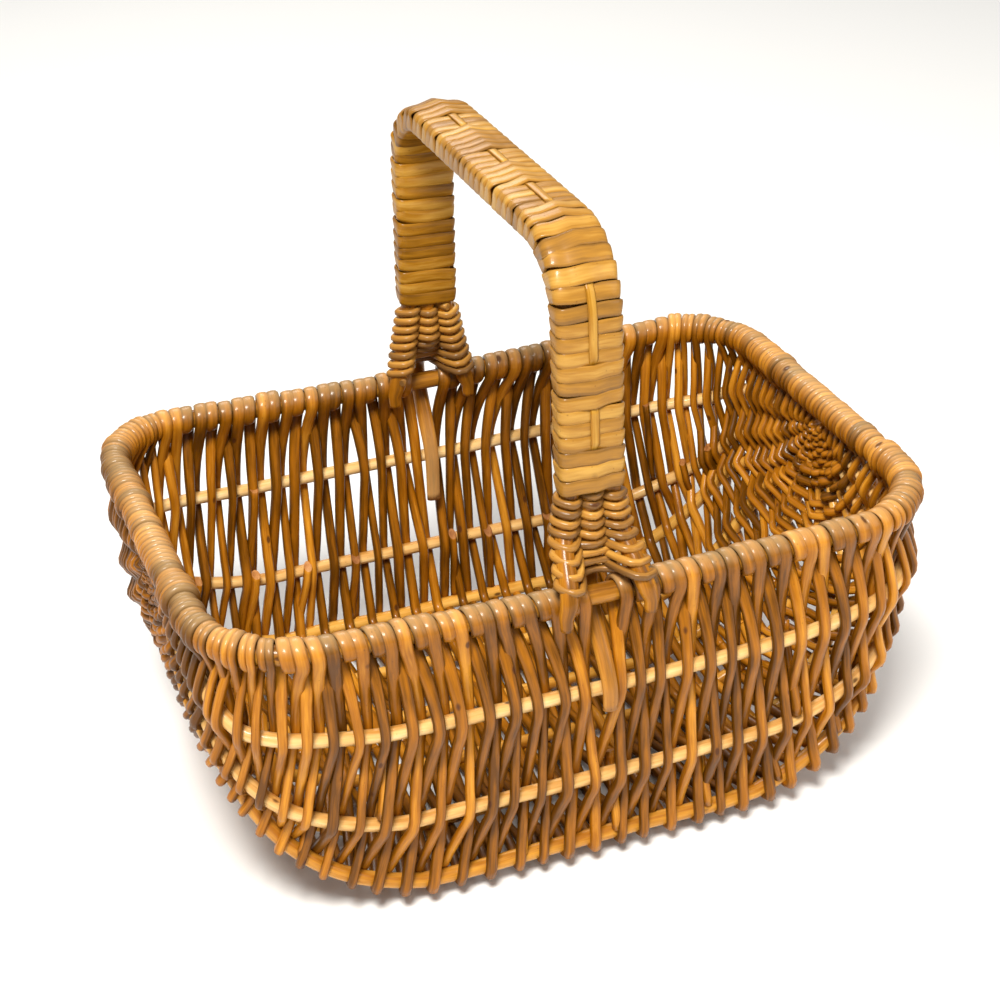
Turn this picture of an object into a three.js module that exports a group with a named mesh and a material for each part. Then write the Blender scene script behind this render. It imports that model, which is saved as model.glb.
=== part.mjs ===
// Woven market basket with a fixed bow handle, a rib basket of willow rods.
//
// Millimetres, +Z up. X runs along the basket, -Y is its front long side.
// The origin is on the ground, under the middle of the basket.
//
// How the real one is built, and so how it is built here: a thick rod is bent round as the rim
// hoop. Ten ribs run from end to end below it like the meridians of a globe. Their ends meet
// under the middle of each short side, and that meeting point is called the pole. Rods are woven
// across the ribs from the front rim, under the floor, to the back rim, so each strip between two
// neighbouring ribs is one band of weave. More rods are wound round the hoop. Three bow rods make
// the handle: they stand on both long sides, pass the hoop and end in the weave.

import * as THREE from 'three';

// ---------------------------------------------------------------- driving dimensions

// rim hoop, on its centre line
const rimHalfLength = 203;
const rimHalfWidth = 136;
const rimCorner = 50;        // corner radius seen from above
const rimHeight = 176;       // above the ground, at mid length
const rimEndRise = 6;        // how much higher the two ends are
const hoopRadius = 5.5;
const windingWall = 2.6;     // rods wound round the hoop

// ribs and weave
const ribRadius = 3.6;
const ribTipRadius = 2.1;    // the ribs are whittled to thin ends
const ribTaper = 0.12;       // share of a rib's length that tapers, at each end
const weaveThickness = 12;   // over both faces of the woven wall
const poleDrop = 14;         // how far the pole lies below the hoop's centre line
const poleRadius = 27;       // the rib ends stand on this circle round the pole
const floorFlat = 1.03;      // above 1, the share by which the floor is pressed flat

// handle
const bowRadius = 5;
const bowTipRadius = 3.4;
const handleHeight = 193;    // top face of the handle above the hoop's centre line
const handleLean = 7.7;      // each leg leans in by this much at the top
const handleCorner = 37;     // bend radius of the bows' centre line
const fanHeight = 60;        // the bows spread out below this height above the hoop
const fanHalfSpread = 23.5;  // the outer bows' distance from the middle bow at the hoop
const skeinWall = 2;         // flat strips wound round the three bows
const listingWidth = 9;      // strip laid along the handle's back, under the winding
const listingThickness = 1.4;
const fanWeaveThickness = 8;
const outerTipDrop = 14;     // ends of the outer bows below the hoop's centre line
const frontTipDrop = 68;     // end of the middle bow, outside the front wall
const backTipDrop = 88;      // end of the middle bow, inside the back wall
const tipReach = 20;         // length over which a bow is whittled to its tip
const wrapBevel = 3;         // bevel on the long edges of the winding

// clearances between touching pieces
const gap = 0.3;
const weaveGap = 0.7;        // between a rib or hoop winding and the weave beside it
const tipLean = 2;           // the bow tips lean this much further from or into the wall
const bareHoop = 8;          // half length of hoop left bare where the middle bow crosses it

// Each rib at mid length: its distance from the middle plane, its height above the ground, and
// the angle below the horizontal at which it leaves the pole. The front half, from the rim down.
const floorRibHeight = weaveThickness / 2;
const halfRibs = [
  { name: 'upper', halfWidth: rimHalfWidth + 5, height: rimHeight - 55, spoke: 12 },
  { name: 'lower', halfWidth: rimHalfWidth - 1, height: rimHeight - 118, spoke: 30 },
  { name: 'edge', halfWidth: rimHalfWidth - 6, height: floorRibHeight + 5, spoke: 48 },
  { name: 'floor_outer', halfWidth: 76, height: floorRibHeight, spoke: 66 },
  { name: 'floor_inner', halfWidth: 25, height: floorRibHeight, spoke: 83 },
];

// ---------------------------------------------------------------- colours

const rodWood = { rim: 0xb98a4c, rib: 0xe2bf86, weave: 0xb57a34, bow: 0xc99a3a, skein: 0xd0a862 };

function wood(kind) {
  return new THREE.MeshStandardMaterial({ color: rodWood[kind], roughness: 0.45, metalness: 0 });
}

const basket = new THREE.Group();

function add(name, geometry, kind) {
  const mesh = new THREE.Mesh(geometry, wood(kind));
  mesh.name = name;
  basket.add(mesh);
}

// ---------------------------------------------------------------- closed skins over rows of loops

const vec = (x, y, z) => new THREE.Vector3(x, y, z);
const mix = (a, b, t) => a + (b - a) * t;

// Signed volume of a triangle list: positive when its faces point out.
function signedVolume(points, index) {
  let sum = 0;
  for (let i = 0; i < index.length; i += 3) {
    const [a, b, c] = [points[index[i]], points[index[i + 1]], points[index[i + 2]]];
    sum += a.dot(vec().crossVectors(b, c)) / 6;
  }
  return sum;
}

// A closed body over rows of equal loops. The end rows are capped, or with ring = true the last
// row joins the first, which gives a body with a hole through it, such as a sleeve.
function skin(rows, ring = false) {
  const size = rows[0].length;
  const points = rows.flat();
  const index = [];
  const rowPairs = ring ? rows.length : rows.length - 1;
  for (let i = 0; i < rowPairs; i++) {
    const next = (i + 1) % rows.length;
    for (let j = 0; j < size; j++) {
      const k = (j + 1) % size;
      const [a, b, c, d] = [i * size + j, i * size + k, next * size + k, next * size + j];
      index.push(a, b, c, a, c, d);
    }
  }
  if (!ring) {
    const last = (rows.length - 1) * size;
    for (let j = 1; j < size - 1; j++) {
      index.push(0, j + 1, j);
      index.push(last, last + j, last + j + 1);
    }
  }
  if (signedVolume(points, index) < 0) index.reverse();
  const geometry = new THREE.BufferGeometry();
  geometry.setFromPoints(points);
  geometry.setIndex(index);
  geometry.computeVertexNormals();
  return geometry;
}

// A regular polygon round a centre, spanned by two unit vectors.
function polygon(centre, across, up, radius, sides) {
  const loop = [];
  for (let j = 0; j < sides; j++) {
    const angle = ((j + 0.5) / sides) * 2 * Math.PI;
    const side = across.clone().multiplyScalar(radius * Math.cos(angle));
    const lift = up.clone().multiplyScalar(radius * Math.sin(angle));
    loop.push(centre.clone().add(side).add(lift));
  }
  return loop;
}

// The corner radius of a polygon whose flats clear a round rod of this radius.
const clearing = (radius, sides) => (radius + gap) / Math.cos(Math.PI / sides);

// Unit tangents along a row of points.
function tangents(points) {
  return points.map((_, i) => {
    const before = points[Math.max(i - 1, 0)];
    const after = points[Math.min(i + 1, points.length - 1)];
    return after.clone().sub(before).normalize();
  });
}

// The part of v at right angles to the unit vector t, as a unit vector.
function square(v, t) {
  return v.clone().addScaledVector(t, -v.dot(t)).normalize();
}

// A round rod through a row of points. steady is a direction that its section keeps level with.
function rod(points, radiusAt, sides, steady) {
  const along = tangents(points);
  const rows = points.map((point, i) => {
    const across = square(steady(i), along[i]);
    const up = vec().crossVectors(along[i], across);
    return polygon(point, across, up, radiusAt(i), sides);
  });
  return skin(rows);
}

// ---------------------------------------------------------------- the rim hoop

// The hoop from above is a rounded rectangle. Its centre line is measured off by length, from
// the middle of the left end, round the front.
const hoopPlan = new THREE.Path();
const cornerX = rimHalfLength - rimCorner;
const cornerY = rimHalfWidth - rimCorner;
hoopPlan.moveTo(-rimHalfLength, 0);
hoopPlan.lineTo(-rimHalfLength, -cornerY);
hoopPlan.absarc(-cornerX, -cornerY, rimCorner, Math.PI, 1.5 * Math.PI);
hoopPlan.lineTo(cornerX, -rimHalfWidth);
hoopPlan.absarc(cornerX, -cornerY, rimCorner, 1.5 * Math.PI, 2 * Math.PI);
hoopPlan.lineTo(rimHalfLength, cornerY);
hoopPlan.absarc(cornerX, cornerY, rimCorner, 0, 0.5 * Math.PI);
hoopPlan.lineTo(-cornerX, rimHalfWidth);
hoopPlan.absarc(-cornerX, cornerY, rimCorner, 0.5 * Math.PI, Math.PI);
hoopPlan.lineTo(-rimHalfLength, 0);
const hoopLength = hoopPlan.getLength();

const endRise = (x) => rimEndRise * (x / rimHalfLength) ** 2;

function hoopPoint(distance) {
  const p = hoopPlan.getPointAt(THREE.MathUtils.clamp(distance / hoopLength, 0, 1));
  return vec(p.x, p.y, rimHeight + endRise(p.x));
}

// ---------------------------------------------------------------- stations along the ribs

// Weave, ribs and hoop share stations, given as shares of length from the left pole to the right
// pole, so that neighbours stay parallel. The middle bow's slot and the bare stretch of hoop are
// stations too.
const windingRadius = hoopRadius + gap + windingWall;
const hoopEndSkip = poleRadius + 10;
const frontLength = hoopLength / 2 - 2 * hoopEndSkip;
const bareShare = bareHoop / frontLength;
const slotShare = (bowRadius + 1) / frontLength;
const halfSteps = 15;
const stations = [];
for (let i = 0; i <= halfSteps; i++) stations.push(((0.5 - bareShare) * i) / halfSteps);
stations.push(0.5 - slotShare);
stations.push(...stations.toReversed().map((s) => 1 - s));
const slotLeft = halfSteps + 1;
const slotRight = halfSteps + 2;

// ---------------------------------------------------------------- rib curves

// Half of a rib, from the pole (share 0) to mid length (share 1). Seen from above it is a
// superellipse |x|^n + |y|^m = 1, and so is its depth seen from the front, with a lower power
// for a deeper rib. Near the pole it leaves along its own spoke instead.
function ribHalf(rib, share) {
  const floorDepth = rimHeight - floorRibHeight;
  const depth = rimHeight - rib.height;
  const relative = depth / floorDepth;
  const lengthPower = 3.8;
  const widthPower = 10.7 - 4.5 * relative;
  const depthPower = 5.6 - 3.3 * relative;
  const angle = (Math.PI / 2) * share ** 4;
  const sine = Math.sin(angle);
  const x = rimHalfLength * Math.cos(angle) ** (2 / lengthPower);
  const wide = rib.halfWidth * sine ** (2 / widthPower);
  const deep = depth * Math.min(1, floorFlat * sine ** (2 / depthPower));
  const reach = Math.hypot(wide, deep);
  const spoke = THREE.MathUtils.degToRad(rib.spoke);
  const blend = THREE.MathUtils.smoothstep(sine, 0, 0.5);
  const fall = mix(spoke, Math.atan2(deep, wide), blend);
  const fade = 1 - THREE.MathUtils.smoothstep(deep, poleRadius, floorDepth);
  const top = rimHeight + fade * (endRise(x) - poleDrop * (x / rimHalfLength) ** 6);
  return { reach, point: vec(-x, -reach * Math.cos(fall), top - reach * Math.sin(fall)) };
}

// A whole rib, cut off on the pole's circle at both ends.
class RibCurve extends THREE.Curve {
  constructor(rib, side) {
    super();
    this.rib = rib;
    this.side = side;
    this.arcLengthDivisions = 600;
    let [low, high] = [0, 1];
    for (let i = 0; i < 40; i++) {
      const middle = (low + high) / 2;
      if (ribHalf(rib, middle).reach < poleRadius) low = middle;
      else high = middle;
    }
    this.start = high;
  }

  getPoint(t, target = vec()) {
    const half = t < 0.5 ? 2 * t : 2 - 2 * t;
    const { point } = ribHalf(this.rib, mix(this.start, 1, half));
    if (t > 0.5) point.x = -point.x;
    if (this.side > 0) point.y = -point.y;
    return target.copy(point);
  }
}

// The lines that the weave crosses, from the front hoop to the back hoop.
const lines = [];
lines.push({
  name: 'front_hoop',
  radius: () => windingRadius,
  points: stations.map((s) => hoopPoint(hoopEndSkip + s * frontLength)),
});
const ribRadiusAt = (s) => mix(ribTipRadius, ribRadius, Math.min(1, Math.min(s, 1 - s) / ribTaper));
for (const side of [-1, 1]) {
  const ordered = side < 0 ? halfRibs : halfRibs.toReversed();
  for (const rib of ordered) {
    const curve = new RibCurve(rib, side);
    lines.push({
      name: `${side < 0 ? 'front' : 'back'}_${rib.name}`,
      radius: ribRadiusAt,
      points: stations.map((s) => curve.getPointAt(s)),
    });
  }
}
lines.push({
  name: 'back_hoop',
  radius: () => windingRadius,
  points: lines[0].points.map((p) => vec(p.x, -p.y, p.z)),
});
for (const line of lines) line.along = tangents(line.points);

// ---------------------------------------------------------------- ribs

const ribSides = 6;
const ribLines = lines.slice(1, -1);
ribLines.forEach((line, k) => {
  const towards = lines[k].points;
  const steady = (i) => towards[i].clone().sub(line.points[i]);
  const radiusAt = (i) => line.radius(stations[i]);
  add(`rib_${line.name}`, rod(line.points, radiusAt, ribSides, steady), 'rib');
});

// ---------------------------------------------------------------- bands of weave

// One edge of a band at station i: the two corners of its end face beside line k, towards line
// k + step. The face is parallel to the plane that halves the corner at line k, and clears the
// line by the gap.
function bandEdge(k, step, i) {
  const line = lines[k];
  const towards = lines[k + step].points[i].clone().sub(line.points[i]);
  const inBand = square(towards, line.along[i]);
  const outward = vec().crossVectors(line.along[i], inBand).multiplyScalar(step);
  let faceNormal = inBand;
  const other = lines[k - step];
  if (other) {
    const away = square(other.points[i].clone().sub(line.points[i]), line.along[i]);
    faceNormal = inBand.clone().sub(away).normalize();
  }
  const clear = line.radius(stations[i]) + weaveGap;
  return [weaveThickness / 2, -weaveThickness / 2].map((h) => {
    const run = (clear - h * outward.dot(faceNormal)) / inBand.dot(faceNormal);
    return line.points[i].clone().addScaledVector(outward, h).addScaledVector(inBand, run);
  });
}

function band(k, from, to) {
  const rows = [];
  for (let i = from; i <= to; i++) {
    const [aOuter, aInner] = bandEdge(k, 1, i);
    const [bOuter, bInner] = bandEdge(k + 1, -1, i);
    rows.push([aOuter, bOuter, bInner, aInner]);
  }
  return skin(rows);
}

// The middle bow goes down through the top bands, so each is in two lengths beside it.
const bandNames = ['top', 'middle', 'lower', 'turn', 'floor'];
const lastStation = stations.length - 1;
const lastBand = lines.length - 2;
for (let k = 0; k <= lastBand; k++) {
  const fromRim = Math.min(k, lastBand - k);
  const side = k < lastBand / 2 ? 'front' : 'back';
  if (fromRim === 0) {
    add(`weave_${side}_top_left`, band(k, 0, slotLeft), 'weave');
    add(`weave_${side}_top_right`, band(k, slotRight, lastStation), 'weave');
  } else if (fromRim === 5) {
    add('weave_floor_centre', band(k, 0, lastStation), 'weave');
  } else {
    add(`weave_${side}_${bandNames[fromRim]}`, band(k, 0, lastStation), 'weave');
  }
}

// ---------------------------------------------------------------- pole starts

// The first turns of weave fill the half circle between the rib ends and the hoop.
for (const [name, sign] of [['left', -1], ['right', 1]]) {
  const top = rimEndRise + rimHeight - windingRadius - gap;
  const centre = rimEndRise + rimHeight - poleDrop;
  const radius = poleRadius - 4 * gap;
  const tilt = Math.asin((top - centre) / radius);
  const outline = new THREE.Shape();
  outline.absarc(0, 0, radius, Math.PI - tilt, 2 * Math.PI + tilt);
  const plate = new THREE.ExtrudeGeometry(outline, {
    depth: weaveThickness, bevelEnabled: false, curveSegments: 14,
  });
  plate.translate(0, 0, -weaveThickness / 2);
  plate.rotateX(Math.PI / 2);
  plate.rotateZ(Math.PI / 2);
  plate.translate(sign * rimHalfLength, 0, centre);
  add(`pole_start_${name}`, plate, 'weave');
}

// ---------------------------------------------------------------- hoop and its winding

const hoopSides = 6;
const hoopStations = [];
const endSteps = 4;
const halfHoop = hoopLength / 2;
for (let i = 0; i < endSteps; i++) hoopStations.push((hoopEndSkip * i) / endSteps);
for (const s of stations) {
  if (s !== stations[slotLeft] && s !== stations[slotRight]) hoopStations.push(hoopEndSkip + s * frontLength);
}
const firstHalf = [...hoopStations];
for (let i = endSteps - 1; i >= 0; i--) firstHalf.push(halfHoop - (hoopEndSkip * i) / endSteps);

function hoopRows(distances, radius) {
  const points = distances.map(hoopPoint);
  return points.map((point, i) => {
    const plan = hoopPlan.getTangentAt(THREE.MathUtils.clamp(distances[i] / hoopLength, 0, 1));
    const along = vec(plan.x, plan.y, 0).normalize();
    const across = vec(-along.y, along.x, 0);
    return polygon(point, across, vec(0, 0, 1), radius, hoopSides);
  });
}

// The hoop's two ends butt together in the middle of the left end.
const around = [...firstHalf, ...firstHalf.slice(1).map((d) => d + halfHoop)];
around[0] = gap / 2;
around[around.length - 1] = hoopLength - gap / 2;
add('rim_hoop', skin(hoopRows(around, hoopRadius)), 'rim');

// A sleeve of winding between two places on the hoop.
function winding(name, from, to) {
  const margin = gap / 10;
  const inside = around.filter((d) => d > from + margin && d < to - margin);
  const distances = [from, ...inside, to];
  const outer = hoopRows(distances, windingRadius);
  const inner = hoopRows(distances, clearing(hoopRadius, hoopSides)).toReversed();
  add(name, skin([...outer, ...inner], true), 'rim');
}

const frontMiddle = halfHoop / 2;
const backMiddle = halfHoop * 1.5;
winding('rim_winding_left_front', gap, hoopEndSkip - gap / 2);
winding('rim_winding_front_left', hoopEndSkip + gap / 2, frontMiddle - bareHoop);
winding('rim_winding_front_right', frontMiddle + bareHoop, halfHoop - hoopEndSkip - gap / 2);
winding('rim_winding_right', halfHoop - hoopEndSkip + gap / 2, halfHoop + hoopEndSkip - gap / 2);
winding('rim_winding_back_right', halfHoop + hoopEndSkip + gap / 2, backMiddle - bareHoop);
winding('rim_winding_back_left', backMiddle + bareHoop, hoopLength - hoopEndSkip - gap / 2);
winding('rim_winding_left_back', hoopLength - hoopEndSkip + gap / 2, hoopLength - gap);

// ---------------------------------------------------------------- handle

// The bows' shared centre line in the plane x = 0, as height above the hoop. Both legs lean in,
// and the corners are arcs.
const bowPitch = 2 * bowRadius + gap;
const outerSkin = bowRadius + 2 * gap + listingThickness + skeinWall;
const legTop = handleHeight - outerSkin;
const footHalf = rimHalfWidth - outerSkin;
const legSlope = handleLean / legTop;
const legY = (height) => footHalf - legSlope * height;

const arch = new THREE.Path();
const legAngle = Math.atan(legSlope);
const archCentreZ = legTop - handleCorner;
const archCentreY = legY(archCentreZ) - handleCorner / Math.cos(legAngle);
const bendStartY = archCentreY + handleCorner * Math.cos(legAngle);
const bendStartZ = archCentreZ + handleCorner * Math.sin(legAngle);
arch.moveTo(-legY(fanHeight), fanHeight);
arch.lineTo(-bendStartY, bendStartZ);
arch.absarc(-archCentreY, archCentreZ, handleCorner, Math.PI - legAngle, Math.PI / 2, true);
arch.lineTo(archCentreY, legTop);
arch.absarc(archCentreY, archCentreZ, handleCorner, Math.PI / 2, legAngle, true);
arch.lineTo(legY(fanHeight), fanHeight);

const bendSteps = 6;
const isNew = (p, i, all) => i === 0 || p.distanceTo(all[i - 1]) > gap;
const archPoints = arch.getPoints(bendSteps).filter(isNew);

// Where a bow crosses the hoop: outside it or inside it, just clear of the winding.
const passOutside = rimHalfWidth + windingRadius + gap + bowRadius;
const passInside = rimHalfWidth - windingRadius - gap - bowRadius;
const upperRib = halfRibs[0];
const upperRibDrop = rimHeight - upperRib.height;
const outsideWall = upperRib.halfWidth + weaveThickness / 2 + gap + bowRadius;
const insideWall = upperRib.halfWidth - weaveThickness / 2 - gap - bowRadius - tipLean;

// One foot of a bow, at a height above the hoop's centre line: how far it stands from the middle
// plane. Above the hoop it bends from the leg's line to the pass. Below, the middle bow crosses
// the wall to the other side.
function footY(height, pass, below, drop) {
  if (height >= 0) return mix(pass, legY(height), THREE.MathUtils.smoothstep(height, 0, fanHeight));
  return mix(pass, below, THREE.MathUtils.smoothstep(-height, 0, drop));
}

const spread = (height) => mix(fanHalfSpread, bowPitch, Math.min(1, Math.max(0, height) / fanHeight) ** 0.8);

const feet = {
  front: {
    sign: -1,
    outer: { y: (h) => footY(h, passOutside, passOutside, outerTipDrop), drop: outerTipDrop },
    middle: { y: (h) => footY(h, passInside, outsideWall, upperRibDrop), drop: frontTipDrop },
  },
  back: {
    sign: 1,
    outer: { y: (h) => footY(h, passInside, passInside, outerTipDrop), drop: outerTipDrop },
    middle: { y: (h) => footY(h, passOutside, insideWall, upperRibDrop), drop: backTipDrop },
  },
};

// The heights above the hoop at which a foot's rod has a section, from its tip upwards.
function footHeights(drop) {
  const stepLength = 14;
  const below = Math.max(1, Math.round(drop / stepLength));
  const above = 5;
  const heights = [];
  for (let i = 0; i < below; i++) heights.push(-drop * (1 - i / below));
  for (let i = 0; i < above; i++) heights.push((fanHeight * i) / above);
  return heights;
}

function footRow(foot, kind, column) {
  const piece = foot[kind];
  return footHeights(piece.drop).map((h) => ({
    point: vec(column * spread(h), foot.sign * piece.y(h), rimHeight + h),
    radius: mix(bowTipRadius, bowRadius, Math.min(1, (h + piece.drop) / tipReach)),
  }));
}

const bowSides = 8;
for (const [name, column] of [['left', -1], ['middle', 0], ['right', 1]]) {
  const kind = column === 0 ? 'middle' : 'outer';
  const rows = [
    ...footRow(feet.front, kind, column),
    ...archPoints.map((p) => ({ point: vec(column * bowPitch, p.x, rimHeight + p.y), radius: bowRadius })),
    ...footRow(feet.back, kind, column).toReversed(),
  ];
  const steady = () => vec(1, 0, 0);
  const geometry = rod(rows.map((r) => r.point), (i) => rows[i].radius, bowSides, steady);
  add(`handle_bow_${name}`, geometry, 'bow');
}

// A box section round the three bows, at one place on the arch. inner and outer are its faces'
// distances from the centre line, towards the hand gap and away from it.
function archLoop(point, along, halfWidth, inner, outer, cut) {
  const away = vec(0, -along.z, along.y);
  const rightSide = [
    [halfWidth - cut, -inner],
    [halfWidth, -inner + cut],
    [halfWidth, outer - cut],
    [halfWidth - cut, outer],
  ];
  const leftSide = rightSide.map(([x, n]) => [-x, n]).toReversed();
  const corners = [...rightSide, ...leftSide];
  return corners.map(([x, n]) => point.clone().add(vec(x, 0, 0)).addScaledVector(away, n));
}

const archLine = archPoints.map((p) => vec(0, p.x, rimHeight + p.y));
const archAlong = tangents(archLine);
const bowsHalfWidth = bowPitch + bowRadius + gap;
const innerFace = bowRadius + gap;
const outerFace = bowRadius + 2 * gap + listingThickness;
const wrapOuter = archLine.map((p, i) => archLoop(
  p, archAlong[i], bowsHalfWidth + skeinWall, innerFace + skeinWall, outerFace + skeinWall, wrapBevel,
));
const wrapInner = archLine.map((p, i) => archLoop(
  p, archAlong[i], bowsHalfWidth, innerFace, outerFace, wrapBevel - skeinWall,
)).toReversed();
add('handle_winding', skin([...wrapOuter, ...wrapInner], true), 'skein');

const listingBevel = 0.2;
const listing = archLine.map((p, i) => archLoop(
  p, archAlong[i], listingWidth / 2, -innerFace, outerFace - gap, listingBevel,
));
add('handle_listing', skin(listing), 'skein');

// ---------------------------------------------------------------- fan weave at the handle's feet

// Thin rods woven between the spreading bows, as one wedge each side of the middle bow.
const fanLow = windingRadius + gap + 1;
const fanSteps = 6;
const fanThinnest = 1.6;

function fanWedge(foot, column) {
  const rows = [];
  for (let i = 0; i <= fanSteps; i++) {
    const h = mix(fanLow, fanHeight, i / fanSteps);
    const outer = vec(column * spread(h), foot.sign * foot.outer.y(h), rimHeight + h);
    const middle = vec(0, foot.sign * foot.middle.y(h), rimHeight + h);
    const across = middle.clone().sub(outer);
    const clear = clearing(bowRadius, bowSides) + gap;
    if (across.length() - 2 * clear < fanThinnest) break;
    across.normalize();
    const thick = vec(-across.y, across.x, 0).multiplyScalar(fanWeaveThickness / 2);
    const a = outer.clone().addScaledVector(across, clear);
    const b = middle.clone().addScaledVector(across, -clear);
    rows.push([
      a.clone().add(thick), b.clone().add(thick), b.clone().sub(thick), a.clone().sub(thick),
    ]);
  }
  return skin(rows);
}

for (const [sideName, foot] of Object.entries(feet)) {
  add(`fan_weave_${sideName}_left`, fanWedge(foot, -1), 'weave');
  add(`fan_weave_${sideName}_right`, fanWedge(foot, 1), 'weave');
}

export default basket;
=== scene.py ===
# %% [markdown]
# # A willow market basket, rod by rod
# A basket of this kind is a hoop, ten ribs and about a hundred passes of willow rod across them.
# The walls are rods with light between them, so the model isn't a shell with a woven picture on
# it. Every rod is a tube along its own path, and the weave comes from the paths alone.

# %% The fixed frame
import math

import bpy
import numpy as np
from mathutils import Matrix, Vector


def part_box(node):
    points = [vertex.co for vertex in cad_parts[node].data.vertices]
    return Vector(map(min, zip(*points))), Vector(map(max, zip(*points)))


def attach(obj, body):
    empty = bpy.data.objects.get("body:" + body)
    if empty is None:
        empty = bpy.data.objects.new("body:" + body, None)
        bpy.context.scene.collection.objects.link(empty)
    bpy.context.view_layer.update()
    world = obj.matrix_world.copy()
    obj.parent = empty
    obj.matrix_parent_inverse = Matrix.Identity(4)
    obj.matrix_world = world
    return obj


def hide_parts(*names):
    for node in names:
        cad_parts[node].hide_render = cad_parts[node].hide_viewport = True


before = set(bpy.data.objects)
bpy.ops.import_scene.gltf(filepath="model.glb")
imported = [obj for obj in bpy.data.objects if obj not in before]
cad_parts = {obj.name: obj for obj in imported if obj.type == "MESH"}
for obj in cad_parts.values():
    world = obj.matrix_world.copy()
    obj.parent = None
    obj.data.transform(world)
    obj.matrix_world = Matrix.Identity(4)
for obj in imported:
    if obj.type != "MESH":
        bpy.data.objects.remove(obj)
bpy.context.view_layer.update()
MM = 0.001
rng = np.random.default_rng(11)

# %% [markdown]
# ## Driving sizes
# The frame holds the plain solids, and the rods have to follow the same lines. These are the
# sizes that those lines come from, in metres. Two of them are read off the frame itself, so a
# basket that is made longer or wider there takes its rods along.

# %% Sizes of the hoop, the ribs and the handle
hoop_low, hoop_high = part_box("rim_hoop")
hoop_radius = 5.5 * MM
rim_half_length = (hoop_high.x - hoop_low.x) / 2 - hoop_radius
rim_half_width = (hoop_high.y - hoop_low.y) / 2 - hoop_radius
rim_corner = 50 * MM
rim_end_rise = 6 * MM
rim_height = 176 * MM
rib_radius = 3.6 * MM
rib_tip_radius = 2.1 * MM
rib_taper = 0.12
pole_drop = 14 * MM
pole_radius = 27 * MM
floor_flat = 1.03
floor_rib_height = 6 * MM
floor_lift = 4.0 * MM
print("hoop half length and width:", round(rim_half_length, 4), round(rim_half_width, 4))

# Each rib at mid length: distance from the middle plane, height, and the angle at the pole.
half_ribs = {
    "upper": (rim_half_width + 5 * MM, rim_height - 55 * MM, 12),
    "lower": (rim_half_width - 1 * MM, rim_height - 118 * MM, 30),
    "edge": (rim_half_width - 6 * MM, floor_rib_height + 5 * MM, 48),
    "floor_outer": (76 * MM, floor_rib_height, 66),
    "floor_inner": (25 * MM, floor_rib_height, 83),
}

# %% [markdown]
# ## Camera, floor and light
# The camera stands at the front left and looks down on the basket. One strong lamp stands high at
# the front left, a weak one fills the right-hand side, a third one lights the rim from behind, and
# a dim pale sky and a pale floor keep the shadows open.

# %% Camera
scene = bpy.context.scene
scene.view_settings.view_transform = "Standard"


def unit(v):
    """v over its own length, along the last axis."""
    v = np.asarray(v, float)
    return v / np.linalg.norm(v, axis=-1, keepdims=True)


def look(azimuth, elevation, roll):
    """Right, up and backward axes of a camera that looks along +Y at azimuth 0, turned right by
    azimuth, tipped down by elevation and rolled about its own view line, all in degrees."""
    a, e, r = np.radians([azimuth, elevation, roll])
    forward = np.array([math.sin(a) * math.cos(e), math.cos(a) * math.cos(e), -math.sin(e)])
    level = unit(np.cross(forward, (0, 0, 1)))
    lift = np.cross(level, forward)
    right = level * math.cos(r) + lift * math.sin(r)
    return np.stack([right, np.cross(right, forward), -forward], axis=1)


def new_object(name, data):
    """A new object in the scene, made from camera, lamp or mesh data."""
    thing = bpy.data.objects.new(name, data)
    scene.collection.objects.link(thing)
    return thing


def stand(thing, axes, position):
    """Puts an object at position, with these columns as its own x, y and z."""
    matrix = np.eye(4)
    matrix[:3, :3] = axes
    matrix[:3, 3] = position
    thing.matrix_world = Matrix(matrix)


camera_point = (-0.3681, -0.9842, 0.7548)
camera_data = bpy.data.cameras.new("camera")
camera_data.lens = 76.3
camera_data.sensor_width = 36
camera = new_object("camera", camera_data)
camera.rotation_mode = "QUATERNION"
stand(camera, look(20.39, 29.47, -1.5), camera_point)
scene.camera = camera
print("camera at", camera_point)

# %% Floor and light


def soft_light(name, position, aim, size, power, colour):
    """A square area light at position, turned to face aim."""
    data = bpy.data.lights.new(name, "AREA")
    data.size = size
    data.energy = power
    data.color = colour
    back = unit(np.subtract(position, aim))
    right = unit(np.cross((0, 0, 1), back))
    stand(new_object(name, data), np.stack([right, np.cross(back, right), back], axis=1), position)


warm = (1.0, 0.97, 0.92)
faintly_warm = (1.0, 0.98, 0.95)
soft_light("key", (-0.7, -1.15, 2.2), (0, 0, 0.1), 0.7, 92, warm)
soft_light("fill", (1.4, -1.2, 1.1), (0, 0, 0.15), 1.2, 9, faintly_warm)
soft_light("rim_light", (0.2, 1.6, 1.6), (0, 0, 0.2), 1.0, 16, faintly_warm)

scene.world = bpy.data.worlds.new("sky")
scene.world.use_nodes = True
sky = scene.world.node_tree.nodes["Background"]
sky.inputs["Color"].default_value = (0.98, 0.97, 0.95, 1)
sky.inputs["Strength"].default_value = 0.34

floor_mesh = bpy.data.meshes.new("floor")
floor_half = 4.0
floor_corners = [(x * floor_half, y * floor_half, 0) for x, y in ((-1, -1), (1, -1), (1, 1), (-1, 1))]
floor_mesh.from_pydata(floor_corners, [], [(0, 1, 2, 3)])
floor = new_object("floor", floor_mesh)
paper = bpy.data.materials.new("pale_floor")
paper.use_nodes = True
paper_inputs = paper.node_tree.nodes["Principled BSDF"].inputs
paper_inputs["Base Color"].default_value = (0.86, 0.86, 0.85, 1)
paper_inputs["Roughness"].default_value = 0.8
floor_mesh.materials.append(paper)

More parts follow.
